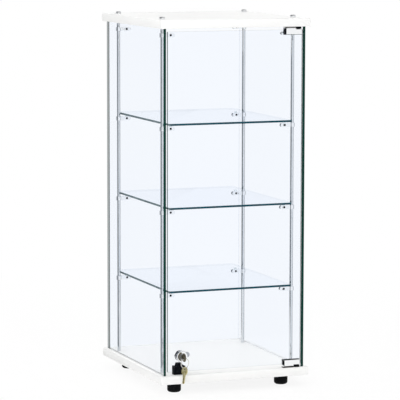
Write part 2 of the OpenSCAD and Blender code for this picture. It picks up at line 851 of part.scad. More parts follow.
base_board();
top_board();
side_glass(0);  // left_glass
side_glass(glass_w - glass_t);  // right_glass
back_glass();
post(0);  // front_left_post
post(1);  // front_right_post
post(2);  // rear_left_post
post(3);  // rear_right_post
cap_nuts();
base_screws();
clips(clear_h - top_clip_gap);  // top_clips
clip_screws(clear_h - top_clip_gap);  // top_clip_screws
shelf(lower_shelf_z);  // lower_shelf
pads(lower_shelf_z);  // lower_shelf_pads
clips(clip_top(lower_shelf_z));  // lower_shelf_clips
clip_screws(clip_top(lower_shelf_z));  // lower_clip_screws
shelf(middle_shelf_z);  // middle_shelf
pads(middle_shelf_z);  // middle_shelf_pads
clips(clip_top(middle_shelf_z));  // middle_shelf_clips
clip_screws(clip_top(middle_shelf_z));  // middle_clip_screws
shelf(upper_shelf_z);  // upper_shelf
pads(upper_shelf_z);  // upper_shelf_pads
clips(clip_top(upper_shelf_z));  // upper_shelf_clips
clip_screws(clip_top(upper_shelf_z));  // upper_clip_screws
foot(0);  // front_left_foot
foot(1);  // front_right_foot
foot(2);  // rear_left_foot
foot(3);  // rear_right_foot
foot_washers();
foot_screws();
color("black") at_hinge(false) bush();  // lower_bush
color("black") at_hinge(true) bush();  // upper_bush
keeper_block();
keeper_screws();
door_glass();
color("silver") at_hinge(false) hinge_clamp();  // lower_hinge_clamp
color("silver") at_hinge(true) hinge_clamp();  // upper_hinge_clamp
color("dimgray") at_hinge(false) hinge_liner(seat_t);  // lower_hinge_liner
color("dimgray") at_hinge(true) hinge_liner(upper_seat_t);  // upper_hinge_liner
color("dimgray") at_hinge(false) set_screws();  // lower_set_screws
color("dimgray") at_hinge(true) set_screws();  // upper_set_screws
color("silver") at_hinge(false) pivot_pin();  // lower_pivot_pin
color("silver") at_hinge(true) pivot_pin();  // upper_pivot_pin
lock_housing();
lock_gasket();
lock_washer();
lock_nut();
lock_plug();
lock_wafers();
lock_cam();
cam_screw();
key();
key_ring();
spare_key();
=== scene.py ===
import math

import bmesh
import bpy
from mathutils import Matrix, Quaternion, Vector


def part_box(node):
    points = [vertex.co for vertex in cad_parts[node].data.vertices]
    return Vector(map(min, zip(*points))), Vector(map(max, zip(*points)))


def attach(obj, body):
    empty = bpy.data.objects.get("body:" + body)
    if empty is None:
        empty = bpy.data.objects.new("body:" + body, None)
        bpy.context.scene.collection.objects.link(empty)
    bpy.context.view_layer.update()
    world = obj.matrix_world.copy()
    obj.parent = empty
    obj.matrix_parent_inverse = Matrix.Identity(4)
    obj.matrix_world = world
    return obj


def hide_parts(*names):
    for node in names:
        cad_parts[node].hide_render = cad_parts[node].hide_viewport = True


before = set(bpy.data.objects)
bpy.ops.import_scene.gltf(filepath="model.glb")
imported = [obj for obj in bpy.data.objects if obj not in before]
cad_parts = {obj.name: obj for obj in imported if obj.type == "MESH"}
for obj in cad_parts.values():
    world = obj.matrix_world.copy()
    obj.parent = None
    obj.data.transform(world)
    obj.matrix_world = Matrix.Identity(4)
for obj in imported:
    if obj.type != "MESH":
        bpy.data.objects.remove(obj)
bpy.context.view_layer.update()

# Rubber feet. Each is moulded in black rubber with a well-rounded lower rim, and is hollow
# from below for the washer and screw that hold it up against the base board.
MM = 0.001
GLASS_CORNER = Vector((-184, -193.3, 48)) * MM
BOARD_T = 20
FOOT_D, FOOT_H, FOOT_RIM, FOOT_ARRIS = 34, 28, 6, 0.6
FOOT_POCKET_D, FOOT_POCKET_H, FOOT_HOLE_D = 14.4, 14, 5.4
FOOT_PLACES = {
    "front_left_foot": (42, 42), "front_right_foot": (326, 42),
    "rear_left_foot": (42, 373), "rear_right_foot": (326, 373),
}
# Two places that lie closer than this are the same place.
HAIR = 0.01 * MM
# A flat face whose middle is this near to an axis, in mm, lies right across it.
ACROSS_AXIS = 0.1
# Where two faces meet at less than this, the shading runs over the edge.
SMOOTH_BELOW = math.radians(32)


def at(x, y, z):
    """A place in the part's frame, given in mm from the glass box's lower front left corner."""
    return GLASS_CORNER + Vector((x, y, z)) * MM


def linear(code):
    """The linear RGBA of an sRGB hex colour."""
    parts = [int(code[i : i + 2], 16) / 255 for i in (1, 3, 5)]
    return [p / 12.92 if p <= 0.04045 else ((p + 0.055) / 1.055) ** 2.4 for p in parts] + [1]


def add(tree, kind, inputs=None, **settings):
    """Adds a node. inputs gives each socket a value, or the output that feeds it."""
    made = tree.nodes.new("ShaderNode" + kind)
    for name, value in settings.items():
        setattr(made, name, value)
    for name, value in (inputs or {}).items():
        if isinstance(value, bpy.types.NodeSocket):
            tree.links.new(value, made.inputs[name])
        else:
            made.inputs[name].default_value = value
    return made


def new_material(name):
    """An empty node material and its tree."""
    material = bpy.data.materials.new(name)
    material.use_nodes = True
    material.node_tree.nodes.clear()
    return material, material.node_tree


def give(material, *names):
    """Gives CAD nodes their finish."""
    for name in names:
        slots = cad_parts[name].data.materials
        slots.clear()
        slots.append(material)


def begun(add_primitive, stretch=(1, 1, 1), **settings):
    """Adds a primitive, alone in the selection, and applies its place, turn and stretch."""
    bpy.ops.object.select_all(action="DESELECT")
    add_primitive(**settings)
    piece = bpy.context.object
    piece.scale = stretch
    bpy.ops.object.transform_apply(location=True, rotation=True, scale=True)
    return piece


def extruded(x, y, z):
    """Extrudes the selected faces by x, y and z in mm."""
    bpy.ops.mesh.extrude_region_move(
        TRANSFORM_OT_translate={"value": (x * MM, y * MM, z * MM)})


def pick(kind, test):
    """Selects, in edit mode, only the faces, edges or vertices that pass the test.

    The test gets the middle and the normal of each.
    """
    bpy.ops.mesh.select_mode(type=kind)
    bpy.ops.mesh.select_all(action="DESELECT")
    mesh = bmesh.from_edit_mesh(bpy.context.object.data)
    if kind == "VERT":
        for vert in mesh.verts:
            vert.select_set(bool(test(vert.co, vert.normal)))
    elif kind == "EDGE":
        for edge in mesh.edges:
            first, last = edge.verts
            normal = (first.normal + last.normal) / 2
            edge.select_set(bool(test((first.co + last.co) / 2, normal)))
    else:
        for face in mesh.faces:
            face.select_set(bool(test(face.calc_center_median(), face.normal)))
    mesh.select_flush_mode()
    bmesh.update_edit_mesh(bpy.context.object.data)


def rounded(piece, width, segments=2, angle=35):
    """Rounds a piece's sharp edges by width in mm and shades it smooth."""
    bevel = piece.modifiers.new("arris", "BEVEL")
    bevel.width = width * MM
    bevel.segments = segments
    bevel.limit_method = "ANGLE"
    bevel.angle_limit = math.radians(angle)
    bpy.ops.object.modifier_apply(modifier="arris")
    bpy.ops.object.shade_smooth_by_angle(angle=SMOOTH_BELOW)


def settle(piece, name, material, body, slot, *nodes):
    """Names a finished piece, gives it its finish and says what it rides on and stands for."""
    piece.name = name
    piece.data.name = name
    piece.data.materials.clear()
    piece.data.materials.append(material)
    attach(piece, body)
    if nodes:
        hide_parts(*nodes)


def copied(piece, matrix):
    """A copy of a finished piece with its own mesh, moved by the matrix."""
    twin = bpy.data.objects.new(piece.name, piece.data.copy())
    bpy.context.scene.collection.objects.link(twin)
    twin.data.transform(matrix)
    return twin


def moulded_rubber():
    """Black EPDM from a spark-eroded tool: a deep matt black that scatters a little light."""
    material, tree = new_material("moulded_black_rubber")
    place = add(tree, "TexCoord").outputs["Object"]
    # The eroded grain is 0.1 mm across and is drawn at 0.8 mm so that it shows.
    grain = add(tree, "TexNoise", {"Vector": place, "Scale": 1250.0, "Detail": 2.0})
    # Dust lies in patches about 14 mm wide.
    dust = add(tree, "TexNoise", {"Vector": place, "Scale": 70.0, "Detail": 4.0})
    tone = add(tree, "ValToRGB", {"Fac": dust.outputs["Fac"]})
    tone.color_ramp.elements[0].position = 0.35
    tone.color_ramp.elements[0].color = linear("#040507")
    tone.color_ramp.elements[1].position = 0.75
    tone.color_ramp.elements[1].color = linear("#0A0C10")
    bump = add(tree, "Bump", {"Height": grain.outputs["Fac"], "Strength": 0.3, "Distance": 0.0002})
    shader = add(tree, "BsdfPrincipled", {
        "Base Color": tone.outputs["Color"], "Normal": bump.outputs["Normal"],
        "Roughness": 0.7, "Specular IOR Level": 0.12})
    add(tree, "OutputMaterial", {"Surface": shader.outputs["BSDF"]})
    return material


rubber = moulded_rubber()
give(rubber, "lock_gasket")
foot_bottom = -FOOT_H - BOARD_T
first_x, first_y = FOOT_PLACES["front_left_foot"]
foot = begun(
    bpy.ops.mesh.primitive_cylinder_add, vertices=64, radius=FOOT_D / 2 * MM, depth=FOOT_H * MM,
    location=at(first_x, first_y, foot_bottom + FOOT_H / 2))
foot_low = at(0, 0, foot_bottom).z
bpy.ops.object.mode_set(mode="EDIT")
pick("FACE", lambda middle, normal: normal.z < -0.9)
bpy.ops.mesh.inset(thickness=(FOOT_D - FOOT_POCKET_D) / 2 * MM)
extruded(0, 0, FOOT_POCKET_H)
bpy.ops.mesh.inset(thickness=(FOOT_POCKET_D - FOOT_HOLE_D) / 2 * MM)
pick("FACE", lambda middle, normal: normal.z > 0.9)
bpy.ops.mesh.inset(thickness=(FOOT_D - FOOT_HOLE_D) / 2 * MM)
hole_middle = at(first_x, first_y, 0)
pick("FACE", lambda middle, normal: abs(normal.z) > 0.9
     and (middle - hole_middle).xy.length < ACROSS_AXIS * MM
     and middle.z > foot_low + FOOT_POCKET_H / 2 * MM)
bpy.ops.mesh.bridge_edge_loops()
pick("EDGE", lambda middle, normal: abs(middle.z - foot_low) < HAIR
     and (middle - hole_middle).xy.length > (FOOT_D / 2 - 1) * MM)
bpy.ops.mesh.bevel(offset=FOOT_RIM * MM, segments=7, affect="EDGES")
bpy.ops.object.mode_set(mode="OBJECT")
rounded(foot, FOOT_ARRIS)
for name, (x, y) in FOOT_PLACES.items():
    twin = copied(foot, Matrix.Translation(Vector((x - first_x, y - first_y, 0)) * MM))
    settle(twin, "rubber_" + name, rubber, "cabinet", "black_rubber", name)
bpy.data.objects.remove(foot)

# Base and top boards. 20 mm particle board faced in white melamine and edged in the same
# white. The band is trimmed to a small round arris, and the grooves for the glass stay sharp.
BOARD_ARRIS = 0.9
# The rounded corners' edges stay this near to the board's sides.
BAND_REACH = 1.5


def merged(node):
    """A merged copy of a CAD node, with its flat faces whole again."""
    piece = bpy.data.objects.new("softened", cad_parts[node].data.copy())
    bpy.context.scene.collection.objects.link(piece)
    bpy.ops.object.select_all(action="DESELECT")
    piece.select_set(True)
    bpy.context.view_layer.objects.active = piece
    bpy.ops.mesh.customdata_custom_splitnormals_clear()
    bpy.ops.object.mode_set(mode="EDIT")
    bpy.ops.mesh.select_all(action="SELECT")
    bpy.ops.mesh.remove_doubles(threshold=0.002 * MM)
    bpy.ops.mesh.dissolve_limited(angle_limit=math.radians(0.2))
    bpy.ops.object.mode_set(mode="OBJECT")
    return piece


def softened(node, width, segments=2, angle=35):
    """A merged copy of a CAD node with its sharp edges rounded by width in mm."""
    piece = merged(node)
    rounded(piece, width, segments, angle)
    return piece


def banded_board(node):
    """A board's merged copy, rounded only along its outer edges, where the band is trimmed."""
    piece = merged(node)
    low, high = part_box(node)
    bpy.ops.object.mode_set(mode="EDIT")
    pick("EDGE", lambda middle, normal: (
        min(middle.x - low.x, high.x - middle.x, middle.y - low.y, high.y - middle.y)
        < BAND_REACH * MM and min(middle.z - low.z, high.z - middle.z) < HAIR))
    bpy.ops.mesh.bevel(offset=BOARD_ARRIS * MM, segments=2, affect="EDGES")
    bpy.ops.object.mode_set(mode="OBJECT")
    bpy.ops.object.shade_smooth_by_angle(angle=SMOOTH_BELOW)
    return piece


def white_melamine():
    """Melamine facing pressed on a satin plate: near white, with a faint peel in its sheen."""
    material, tree = new_material("white_melamine_facing")
    place = add(tree, "TexCoord").outputs["Object"]
    # The plate's peel is 0.5 mm across and is drawn at 2 mm so that it shows.
    peel = add(tree, "TexNoise", {"Vector": place, "Scale": 500.0, "Detail": 2.0})
    # The facing's tone drifts in clouds of about 110 mm.
    cloud = add(tree, "TexNoise", {"Vector": place, "Scale": 9.0, "Detail": 4.0})
    tone = add(tree, "ValToRGB", {"Fac": cloud.outputs["Fac"]})
    tone.color_ramp.elements[0].color = linear("#FBFBFA")
    tone.color_ramp.elements[1].color = linear("#FEFEFD")
    satin = add(tree, "MapRange", {"Value": cloud.outputs["Fac"], "To Min": 0.34, "To Max": 0.42})
    bump = add(tree, "Bump", {"Height": peel.outputs["Fac"], "Strength": 0.05, "Distance": 0.0002})
    shader = add(tree, "BsdfPrincipled", {
        "Base Color": tone.outputs["Color"], "Normal": bump.outputs["Normal"],
        "Roughness": satin.outputs["Result"], "Specular IOR Level": 0.4})
    add(tree, "OutputMaterial", {"Surface": shader.outputs["BSDF"]})
    return material


melamine = white_melamine()
for name in ("base_board", "top_board"):
    settle(banded_board(name), "banded_" + name, melamine, "cabinet", "white_laminate", name)

# Side and back panels. 5 mm float glass with polished edges, set in the boards' grooves.
# A panel is nearly clear through its faces and dark green where the eye looks into an edge.
# Beside its polished front edge the edge's green is painted into the faces for this many mm,
# a painted reflection of the edge.
LEFT_GREEN, RIGHT_GREEN = 3.5, 5


def float_glass(name, thin_axis, edge_dark, edge_light, end_tone, far_edge, far_foot,
                deep_until=-1.0):
    """Float glass: clear faces with a faint cool tint, and deep colour in the edges.

    thin_axis is the axis across the pane. end_tone is the colour of the ends to the left and
    right, which look greyer than the front edge. far_edge is how much an upright edge shows
    that is seen through the pane, and far_foot how much a level one does, such as the foot.
    Forward of deep_until, in metres along Y, the faces take the edge's colour, a painted
    reflection of the edge.
    """
    material, tree = new_material(name)
    coords = add(tree, "TexCoord")
    path = add(tree, "LightPath")
    # The tint drifts over about 330 mm.
    cloud = add(tree, "TexNoise", {
        "Vector": coords.outputs["Object"], "Scale": 3.0, "Detail": 1.0})
    tint = add(tree, "ValToRGB", {"Fac": cloud.outputs["Fac"]})
    tint.color_ramp.elements[0].color = linear("#FCFDFF")
    tint.color_ramp.elements[1].color = linear("#FDFEFF")
    # Light that falls through the pane on what is inside isn't dimmed by it.
    lighting = add(tree, "Math", {
        0: path.outputs["Is Shadow Ray"], 1: path.outputs["Is Diffuse Ray"]}, operation="MAXIMUM")
    passed = add(tree, "Mix", {
        "Factor": lighting.outputs[0], "A": tint.outputs["Color"], "B": linear("#FFFFFF")},
        data_type="RGBA")
    clear = add(tree, "BsdfTransparent", {"Color": passed.outputs["Result"]})
    mirror = add(tree, "BsdfGlossy", {"Roughness": 0.01})
    weight = add(tree, "LayerWeight", {"Blend": 0.5})
    steep = add(tree, "Math", {0: weight.outputs["Facing"], 1: 5.0}, operation="POWER")
    shine = add(tree, "Math", {0: steep.outputs[0], 1: 0.05, 2: 0.002}, operation="MULTIPLY_ADD")
    seen = add(tree, "Math", {0: 1.0, 1: lighting.outputs[0]}, operation="SUBTRACT")
    sheen = add(tree, "Math", {0: shine.outputs[0], 1: seen.outputs[0]}, operation="MULTIPLY")
    face = add(tree, "MixShader", {
        0: sheen.outputs[0], 1: clear.outputs[0], 2: mirror.outputs[0]})
    # The polishing lines run along an edge. They are 0.05 mm apart and are drawn at 1 mm.
    lines = add(tree, "Mapping", {"Vector": coords.outputs["Object"], "Scale": (1000, 1000, 8)})
    streak = add(tree, "TexNoise", {"Vector": lines.outputs[0], "Scale": 1.0})
    depth = add(tree, "ValToRGB", {"Fac": streak.outputs["Fac"]})
    depth.color_ramp.elements[0].color = linear(edge_dark)
    depth.color_ramp.elements[1].color = linear(edge_light)
    parts = add(tree, "SeparateXYZ", {"Vector": coords.outputs["Normal"]})
    sideways = add(tree, "Math", {0: parts.outputs["X"]}, operation="ABSOLUTE")
    is_end = add(tree, "MapRange", {"Value": sideways.outputs[0], "From Min": 0.3, "From Max": 0.9})
    toned = add(tree, "Mix", {
        "Factor": is_end.outputs["Result"], "A": depth.outputs["Color"], "B": linear(end_tone)},
        data_type="RGBA")
    edge = add(tree, "BsdfPrincipled", {
        "Base Color": toned.outputs["Result"], "Roughness": 0.2, "Specular IOR Level": 0.03})
    across = add(tree, "Math", {0: parts.outputs[thin_axis]}, operation="ABSOLUTE")
    is_edge = add(tree, "Math", {0: across.outputs[0], 1: 0.97}, operation="LESS_THAN")
    place = add(tree, "SeparateXYZ", {"Vector": coords.outputs["Object"]})
    # Painted reflection: near the front edge the faces take the edge's green.
    is_deep = add(tree, "Math", {0: place.outputs["Y"], 1: deep_until}, operation="LESS_THAN")
    is_dark = add(tree, "Math", {0: is_edge.outputs[0], 1: is_deep.outputs[0]}, operation="MAXIMUM")
    level = add(tree, "Math", {0: parts.outputs["Z"]}, operation="ABSOLUTE")
    far = add(tree, "MapRange", {
        "Value": level.outputs[0], "From Min": 0.5, "From Max": 0.9,
        "To Min": far_edge, "To Max": far_foot})
    inside = add(tree, "NewGeometry").outputs["Backfacing"]
    near = add(tree, "MapRange", {
        "Value": inside, "To Min": 1.0, "To Max": far.outputs["Result"]})
    share = add(tree, "Math", {
        0: is_dark.outputs[0], 1: near.outputs["Result"]}, operation="MULTIPLY")
    both = add(tree, "MixShader", {
        0: share.outputs[0], 1: face.outputs[0], 2: edge.outputs["BSDF"]})
    add(tree, "OutputMaterial", {"Surface": both.outputs[0]})
    return material


left_pane = float_glass(
    "float_glass_left_panel", "X", "#0A2A23", "#17443C", "#17443C", 0.6, 0.6,
    at(0, LEFT_GREEN, 0).y)
right_pane = float_glass(
    "float_glass_right_panel", "X", "#0A2A23", "#17443C", "#17443C", 0.03, 0.03,
    at(0, RIGHT_GREEN, 0).y)
back_pane = float_glass(
    "float_glass_back_panel", "Y", "#3A4C4B", "#657A79", "#55605F", 0.03, 0.03)
give(left_pane, "left_glass")
give(right_pane, "right_glass")
give(back_pane, "back_glass")

# Clear panes hardly dim the light on what stands behind them, so they cast no shadow.
for name in ("left_glass", "right_glass", "back_glass", "door_glass"):
    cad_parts[name].visible_shadow = False

# Sealing bead. Clear silicone, wiped to a small fillet, seals the glass to the base board
# inside the cabinet. Over the white board it looks milky.
BEAD_H, BEAD_SINK, BEAD_FILLET, BEAD_HOLLOW = 1.6, 0.1, 1.4, 0.35
# Each bead's near left and far right corner, and the side on which the wiped face lies.
BEADS = (
    (5, 408.2, 363, 410, (0, -1)), (361.2, 5, 363, 408.2, (-1, 0)), (5, 5, 6.8, 408.2, (1, 0)))


def milky_silicone():
    """Clear silicone over white board: milky, with a wiped bead's soft gloss and small waves."""
    material, tree = new_material("milky_silicone")
    place = add(tree, "TexCoord").outputs["Object"]
    # The waves that wiping leaves are 5 to 6 mm long.
    waves = add(tree, "TexNoise", {"Vector": place, "Scale": 180.0, "Detail": 2.0})
    tone = add(tree, "ValToRGB", {"Fac": waves.outputs["Fac"]})
    tone.color_ramp.elements[0].color = linear("#F4F6F6")
    tone.color_ramp.elements[1].color = linear("#FDFDFD")
    bump = add(tree, "Bump", {"Height": waves.outputs["Fac"], "Strength": 0.3, "Distance": 0.0003})
    shader = add(tree, "BsdfPrincipled", {
        "Base Color": tone.outputs["Color"], "Normal": bump.outputs["Normal"],
        "Roughness": 0.3, "IOR": 1.41})
    add(tree, "OutputMaterial", {"Surface": shader.outputs["BSDF"]})
    return material


silicone = milky_silicone()
for number, (x0, y0, x1, y1, (side_x, side_y)) in enumerate(BEADS):
    middle_x, middle_y, length_x, length_y = (x0 + x1) / 2, (y0 + y1) / 2, x1 - x0, y1 - y0
    bead = begun(
        bpy.ops.mesh.primitive_cube_add, Vector((length_x, length_y, BEAD_H)) * MM, size=1,
        location=at(middle_x, middle_y, BEAD_H / 2 - BEAD_SINK))
    inner = at(
        middle_x + side_x * length_x / 2, middle_y + side_y * length_y / 2, BEAD_H - BEAD_SINK)
    bpy.ops.object.mode_set(mode="EDIT")
    pick("EDGE", lambda middle, normal: (middle - inner).length < HAIR)
    bpy.ops.mesh.bevel(
        offset=BEAD_FILLET * MM, segments=4, affect="EDGES", profile=BEAD_HOLLOW)
    bpy.ops.object.mode_set(mode="OBJECT")
    bpy.ops.object.shade_smooth_by_angle(angle=math.radians(40))
    settle(bead, "sealing_bead_%d" % (number + 1), silicone, "cabinet", "clear_pad")

# Posts and their nuts. 8 mm chromed steel rods stand on the base board, held by a screw from
# below, and domed cap nuts pull the top board down on their studs.
CLEAR_H = 842
BOARD_TOP = CLEAR_H + BOARD_T
POST_D, STUD_D, POST_TAP, STUD_TOP, POST_CHAMFER, POST_ARRIS = 8, 5, 12, 865.6, 0.6, 0.25
NUT_D, NUT_H, NUT_CROWN, NUT_ARRIS = 13, 6, 2.6, 0.3
NUT_TAP_D, NUT_TAP = 5.1, 3.9
# The crown rises in two low steps, each this much narrower on every side.
NUT_STEP, NUT_RISES = 1.2, (0.25, 0.1)
POST_PLACES = ((13, 48), (355, 48), (13, 363), (355, 363))
POST_NAMES = ("front_left_post", "front_right_post", "rear_left_post", "rear_right_post")


def plated_metal(name, light, dark, roughness, marks):
    """Plated metal, and the dark metal of painted gap shade: it mirrors the room, with faint wipe
    marks in its gloss.

    marks is how many wipe marks there are to the metre, so with 200 they are 5 mm apart.
    """
    material, tree = new_material(name)
    place = add(tree, "TexCoord").outputs["Object"]
    wiped = add(tree, "TexNoise", {"Vector": place, "Scale": marks, "Detail": 3.0})
    tone = add(tree, "ValToRGB", {"Fac": wiped.outputs["Fac"]})
    tone.color_ramp.elements[0].color = linear(dark)
    tone.color_ramp.elements[1].color = linear(light)
    haze = add(tree, "MapRange", {
        "Value": wiped.outputs["Fac"], "To Min": roughness, "To Max": roughness * 1.8})
    shader = add(tree, "BsdfPrincipled", {
        "Base Color": tone.outputs["Color"], "Metallic": 1.0, "Roughness": haze.outputs["Result"]})
    add(tree, "OutputMaterial", {"Surface": shader.outputs["BSDF"]})
    return material


rod_chrome = plated_metal("chromed_steel_rod", "#E4E7EA", "#D3D7DB", 0.02, 40.0)
rod_x, rod_y = POST_PLACES[0]
rod = begun(
    bpy.ops.mesh.primitive_cylinder_add, vertices=64, radius=POST_D / 2 * MM,
    depth=CLEAR_H * MM, location=at(rod_x, rod_y, CLEAR_H / 2))
bpy.ops.object.mode_set(mode="EDIT")
pick("FACE", lambda middle, normal: normal.z > 0.9)
bpy.ops.mesh.inset(thickness=POST_CHAMFER * MM)
bpy.ops.mesh.inset(thickness=((POST_D - STUD_D) / 2 - POST_CHAMFER) * MM)
extruded(0, 0, STUD_TOP - CLEAR_H)
pick("FACE", lambda middle, normal: normal.z < -0.9)
bpy.ops.mesh.inset(thickness=(POST_D - STUD_D) / 2 * MM)
extruded(0, 0, POST_TAP)
bpy.ops.object.mode_set(mode="OBJECT")
rounded(rod, POST_ARRIS, angle=50)
for name, (x, y) in zip(POST_NAMES, POST_PLACES):
    twin = copied(rod, Matrix.Translation(Vector((x - rod_x, y - rod_y, 0)) * MM))
    settle(twin, "chromed_" + name, rod_chrome, "cabinet", "chrome_rod", name)
bpy.data.objects.remove(rod)
zinc = plated_metal("zinc_plated_steel", "#C4C6CA", "#A9ACB1", 0.28, 220.0)
give(zinc, "base_screws", "foot_washers", "foot_screws", "lower_pivot_pin", "upper_pivot_pin")
nut = begun(
    bpy.ops.mesh.primitive_cylinder_add, vertices=48, radius=NUT_D / 2 * MM, depth=NUT_H * MM,
    location=at(rod_x, rod_y, BOARD_TOP + NUT_H / 2))
nut_axis = at(rod_x, rod_y, BOARD_TOP)
bpy.ops.object.mode_set(mode="EDIT")
pick("EDGE", lambda middle, normal: middle.z > nut_axis.z + NUT_H * MM - HAIR)
bpy.ops.mesh.bevel(offset=NUT_CROWN * MM, segments=6, affect="EDGES")
pick("FACE", lambda middle, normal: normal.z > 0.99
     and (middle - nut_axis).xy.length < ACROSS_AXIS * MM)
for rise in NUT_RISES:
    bpy.ops.mesh.inset(thickness=NUT_STEP * MM, depth=rise * MM)
pick("FACE", lambda middle, normal: normal.z < -0.9)
bpy.ops.mesh.inset(thickness=(NUT_D - NUT_TAP_D) / 2 * MM)
extruded(0, 0, NUT_TAP)
bpy.ops.object.mode_set(mode="OBJECT")
rounded(nut, NUT_ARRIS, angle=50)


def joined(pieces):
    """Joins finished copies into the first of them."""
    bpy.ops.object.select_all(action="DESELECT")
    for piece in pieces:
        piece.select_set(True)
    bpy.context.view_layer.objects.active = pieces[0]
    bpy.ops.object.join()
    return pieces[0]


nuts = joined([nut] + [
    copied(nut, Matrix.Translation(Vector((x - rod_x, y - rod_y, 0)) * MM))
    for x, y in POST_PLACES[1:]])
nut_chrome = plated_metal("satin_chromed_nuts", "#F4F5F6", "#E9EBED", 0.3, 80.0)
settle(nuts, "domed_cap_nuts", nut_chrome, "cabinet", "chrome_fitting", "cap_nuts")

# Clips. Chromed castings, each with a split eye that a black socket screw pulls tight round
# its rod, and an arm. Four hold the top board's weight off the glass and four bear each shelf.
CLIP_ARRIS = 0.7
plate = plated_metal("chromed_casting", "#F8F9FA", "#EEF0F2", 0.025, 60.0)
settle(softened("top_clips", CLIP_ARRIS), "top_chrome_clips", plate,
       "cabinet", "chrome_clip", "top_clips")
for level in ("lower", "middle", "upper"):
    settle(softened(level + "_shelf_clips", CLIP_ARRIS), level + "_chrome_clips", plate,
           level + "_shelf_set", "chrome_clip", level + "_shelf_clips")
black_steel = plated_metal("blackened_screw_steel", "#2C2D31", "#1A1B1E", 0.35, 300.0)
give(black_steel, "top_clip_screws", "lower_clip_screws", "middle_clip_screws",
     "upper_clip_screws", "lower_set_screws", "upper_set_screws")

# Pads. Clear soft PVC bumpers, each a low dome stuck on a clip's arm, that keep the shelf off
# the metal. They take light through them and so hardly show.
PAD_D, PAD_H, PAD_ROUND, PAD_STEP, PAD_ARRIS = 7, 4, 1.2, 1, 0.15
# How far each pad lies from its post, towards the middle of the cabinet.
PAD_AT = 21.5
SHELF_TOPS = {"lower": 203.5, "middle": 407.5, "upper": 611.5}
SHELF_T = 5


def clear_pvc():
    """Soft clear PVC: like cloudy water, with a dull sheen and a little milk inside."""
    material, tree = new_material("clear_soft_pvc")
    place = add(tree, "TexCoord").outputs["Object"]
    # The milk in it lies in clouds of about 4 mm.
    milk = add(tree, "TexNoise", {"Vector": place, "Scale": 260.0, "Detail": 2.0})
    tint = add(tree, "ValToRGB", {"Fac": milk.outputs["Fac"]})
    tint.color_ramp.elements[0].color = linear("#EEF2F4")
    tint.color_ramp.elements[1].color = linear("#F8FBFC")
    clear = add(tree, "BsdfTransparent", {"Color": tint.outputs["Color"]})
    soft = add(tree, "BsdfPrincipled", {
        "Base Color": tint.outputs["Color"], "Roughness": 0.3, "IOR": 1.53})
    rim = add(tree, "LayerWeight", {"Blend": 0.4})
    share = add(tree, "MapRange", {"Value": rim.outputs["Facing"], "To Min": 0.12, "To Max": 0.6})
    both = add(tree, "MixShader", {
        0: share.outputs["Result"], 1: clear.outputs[0], 2: soft.outputs["BSDF"]})
    add(tree, "OutputMaterial", {"Surface": both.outputs[0]})
    return material


pvc = clear_pvc()
pad = begun(
    bpy.ops.mesh.primitive_cylinder_add, vertices=32, radius=PAD_D / 2 * MM, depth=PAD_H * MM,
    location=(0, 0, 0))
bpy.ops.object.mode_set(mode="EDIT")
pick("EDGE", lambda middle, normal: middle.z > PAD_H / 2 * MM - HAIR)
bpy.ops.mesh.bevel(offset=PAD_ROUND * MM, segments=4, affect="EDGES")
pick("FACE", lambda middle, normal: normal.z > 0.99)
bpy.ops.mesh.inset(thickness=PAD_STEP * MM)
bpy.ops.object.mode_set(mode="OBJECT")
rounded(pad, PAD_ARRIS, angle=50)
for level, top in SHELF_TOPS.items():
    pad_z = top - SHELF_T - PAD_H / 2
    four = joined([
        copied(pad, Matrix.Translation(at(x + (PAD_AT if x == rod_x else -PAD_AT), y, pad_z)))
        for x, y in POST_PLACES])
    settle(four, level + "_clear_pads", pvc, level + "_shelf_set", "clear_pad",
           level + "_shelf_pads")
bpy.data.objects.remove(pad)

# Shelves. 5 mm float glass, ground and polished round the edge with a small arris, and round
# at the corners. They lie loose on the pads. Through an edge they look petrol blue.
SHELF_ARRIS = 0.5
shelf_glass = float_glass(
    "float_glass_shelves", "Z", "#133B47", "#265461", "#6E7C80", 0.04, 0.04)
for level in SHELF_TOPS:
    pane = softened(level + "_shelf", SHELF_ARRIS)
    settle(pane, level + "_shelf_glass", shelf_glass, level + "_shelf_set", "shelf_glass",
           level + "_shelf")
    pane.visible_shadow = False

# Hinges. A black nylon bush in each board carries the pin of a chromed clamp, and the clamp
# grips a corner of the door glass in a soft grey liner, tightened by two set screws inside. A
# thin dark steel plate on each board, beside the clamp, is painted shade for the gap between
# the clamp and the board.
CLAMP_ARRIS, CLAMP_CHAMFER, CLAMP_END_CHAMFER, BUSH_ARRIS = 0.3, 1.5, 2.7, 0.4
PLATE_X, PLATE_Y, PLATE_CORNER, PLATE_ARRIS = (313.5, 341.5), (-3.6, 10), 2, 0.2
GAP_SHADE_STRIPS = {"lower": (0, 1.5), "upper": (839.9, 842)}


def moulded_nylon(name, dark, light):
    """Nylon moulded in a polished tool: a dense colour with a waxy sheen and faint flow marks."""
    material, tree = new_material(name)
    place = add(tree, "TexCoord").outputs["Object"]
    # The flow marks are about 11 mm apart.
    flow = add(tree, "TexNoise", {
        "Vector": place, "Scale": 90.0, "Detail": 4.0, "Distortion": 1.5})
    tone = add(tree, "ValToRGB", {"Fac": flow.outputs["Fac"]})
    tone.color_ramp.elements[0].color = linear(dark)
    tone.color_ramp.elements[1].color = linear(light)
    gloss = add(tree, "MapRange", {"Value": flow.outputs["Fac"], "To Min": 0.38, "To Max": 0.55})
    shader = add(tree, "BsdfPrincipled", {
        "Base Color": tone.outputs["Color"], "Roughness": gloss.outputs["Result"],
        "Specular IOR Level": 0.08})
    add(tree, "OutputMaterial", {"Surface": shader.outputs["BSDF"]})
    return material


